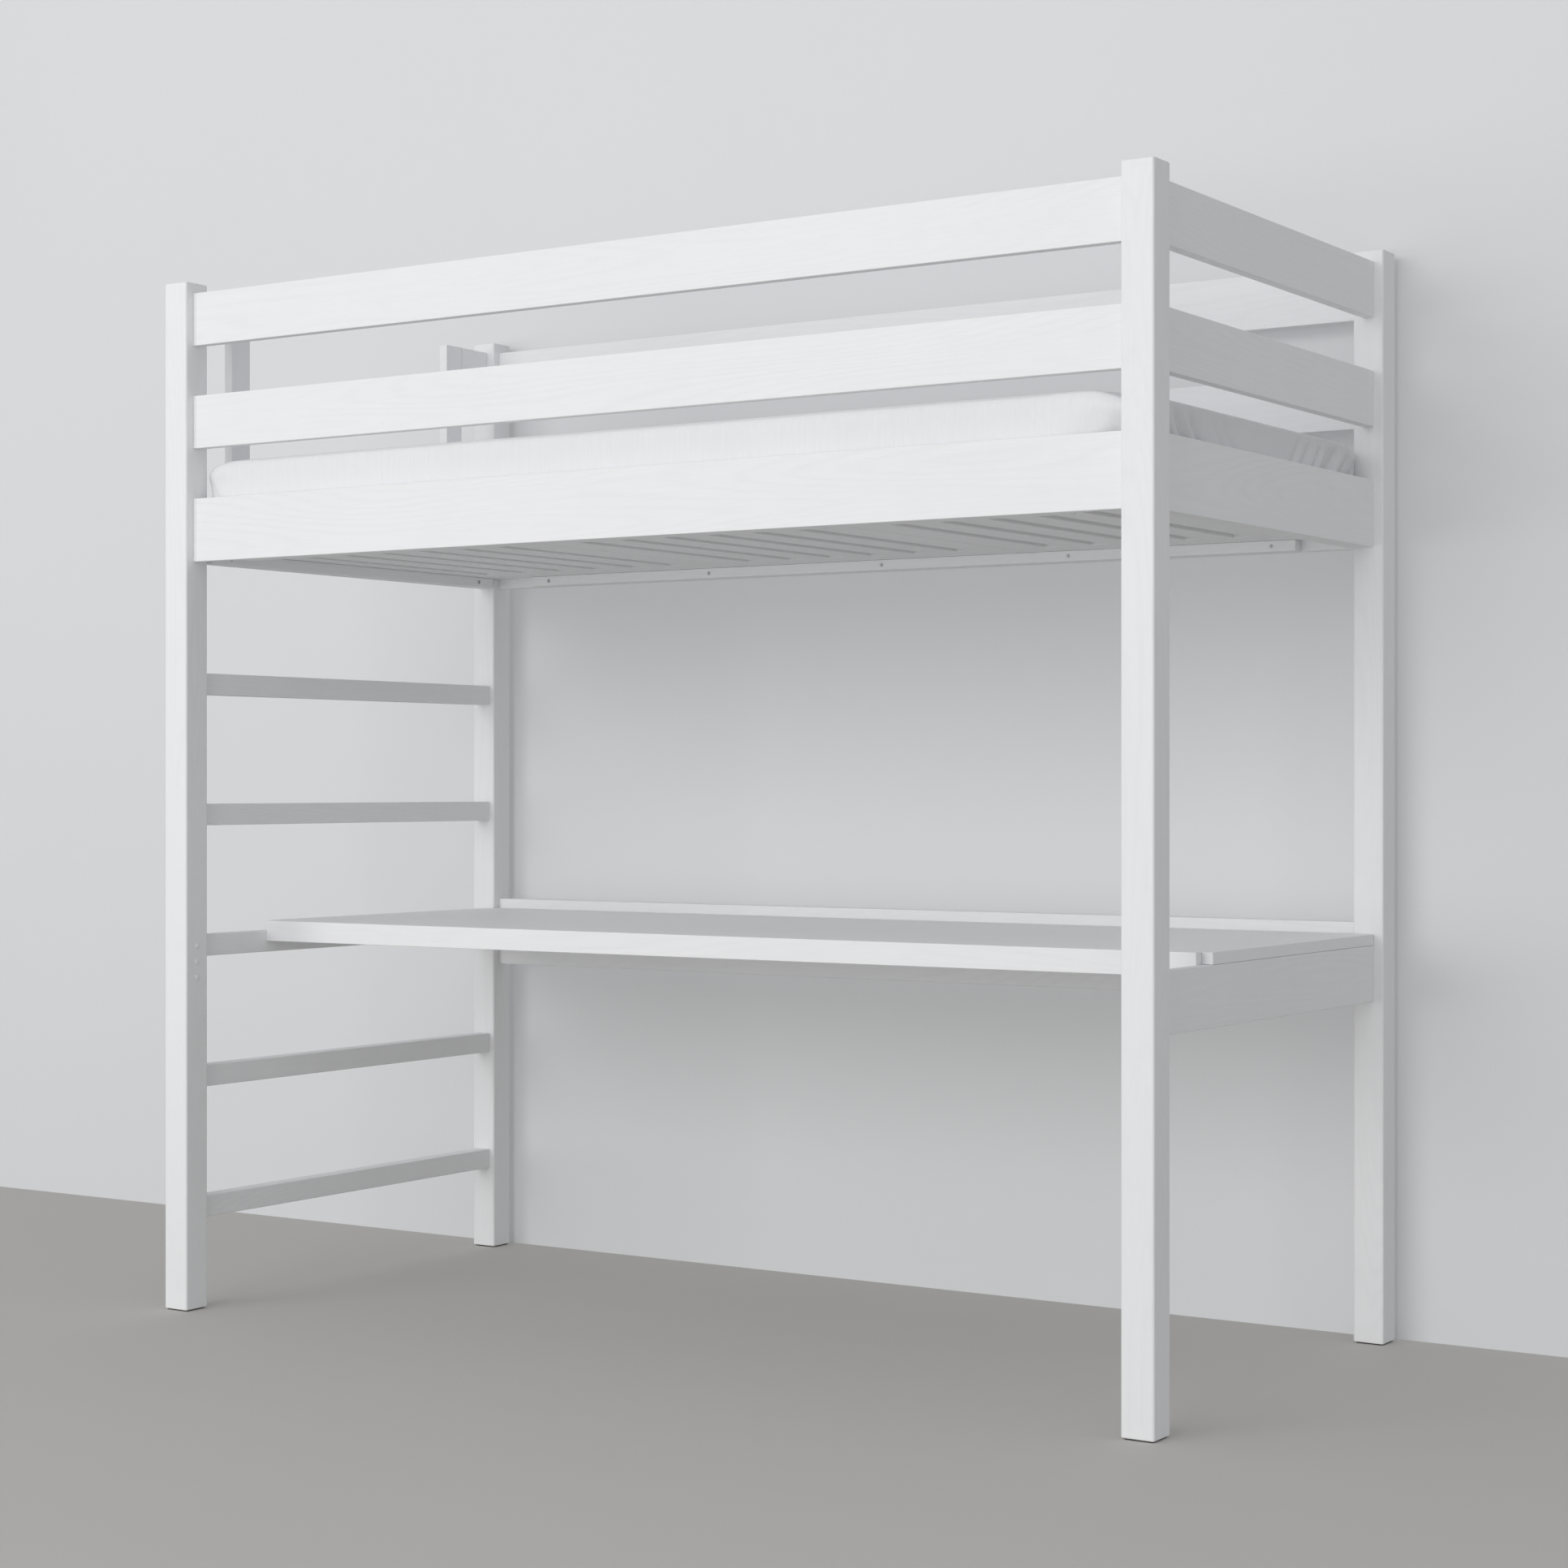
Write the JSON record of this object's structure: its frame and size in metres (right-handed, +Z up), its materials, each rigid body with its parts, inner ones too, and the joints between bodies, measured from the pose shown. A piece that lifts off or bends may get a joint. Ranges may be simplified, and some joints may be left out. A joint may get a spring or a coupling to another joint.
{
  "type": "loft bed with desk",
  "caption": "High single bed on square posts with guard rails, an end ladder, a slatted base with a mattress, and a full-length desk top below.",
  "frame": {"origin": "on the floor, under the middle of the bed", "axes": "+X along the bed from the ladder end to the open end, +Y from the front to the wall side, +Z up"},
  "size_m": [2.08, 0.98, 1.952],
  "materials": {
    "frame_wood": "white painted pine, fine raised grain, satin",
    "desk_wood": "white painted pine, fine raised grain, satin",
    "slat_board": "white painted board, satin",
    "mattress_cloth": "white fitted cotton cover, matt",
    "foot_pad": "black, matt",
    "cover_cap": "white moulded plastic, satin",
    "screw_steel": "dark zinc, satin"
  },
  "bodies": {
    "bed_frame": {"post_front_left": "frame_wood", "post_rear_left": "frame_wood", "post_front_right": "frame_wood", "post_rear_right": "frame_wood", "foot_pad_front_left": "foot_pad", "foot_pad_rear_left": "foot_pad", "foot_pad_front_right": "foot_pad", "foot_pad_rear_right": "foot_pad", "side_rail_front": "frame_wood", "side_rail_rear": "frame_wood", "side_rail_left": "frame_wood", "side_rail_right": "frame_wood", "guard_rail_middle_front": "frame_wood", "guard_rail_top_front": "frame_wood", "guard_rail_middle_rear": "frame_wood", "guard_rail_top_rear": "frame_wood", "guard_rail_middle_right": "frame_wood", "guard_rail_top_right": "frame_wood", "rung_1": "frame_wood", "rung_2": "frame_wood", "rung_3": "frame_wood", "rung_4": "frame_wood", "rung_5": "frame_wood", "entry_board_front": "frame_wood", "entry_top_rail_front": "frame_wood", "entry_board_rear": "frame_wood", "entry_top_rail_rear": "frame_wood", "desk_top": "desk_wood", "desk_lip": "desk_wood", "desk_end_board": "desk_wood", "desk_back_rail": "desk_wood", "cleat_front": "frame_wood", "cleat_rear": "frame_wood", "cleat_left": "frame_wood", "cleat_right": "frame_wood", "cleat_screw_front_1": "screw_steel", "cleat_screw_front_2": "screw_steel", "cleat_screw_front_3": "screw_steel", "cleat_screw_front_4": "screw_steel", "cleat_screw_front_5": "screw_steel", "cleat_screw_rear_1": "screw_steel", "cleat_screw_rear_2": "screw_steel", "cleat_screw_rear_3": "screw_steel", "cleat_screw_rear_4": "screw_steel", "cleat_screw_rear_5": "screw_steel", "cleat_screw_left_1": "screw_steel", "cleat_screw_left_2": "screw_steel", "cleat_screw_right_1": "screw_steel", "cleat_screw_right_2": "screw_steel", "cover_cap_1": "cover_cap", "cover_cap_2": "cover_cap", "cover_cap_3": "cover_cap"},
    "slatted_base": {"slat_panel_1": "slat_board", "slat_panel_2": "slat_board", "slat_panel_3": "slat_board"},
    "mattress": {"mattress": "mattress_cloth"}
  },
  "joints": [
    {"name": "base_lift", "type": "slide", "parent": "bed_frame", "child": "slatted_base", "axis": [0, 0, 1], "range_m": [0, 0.52]},
    {"name": "mattress_lift", "type": "slide", "parent": "slatted_base", "child": "mattress", "axis": [0, 0, 1], "range_m": [0, 0.5]}
  ]
}
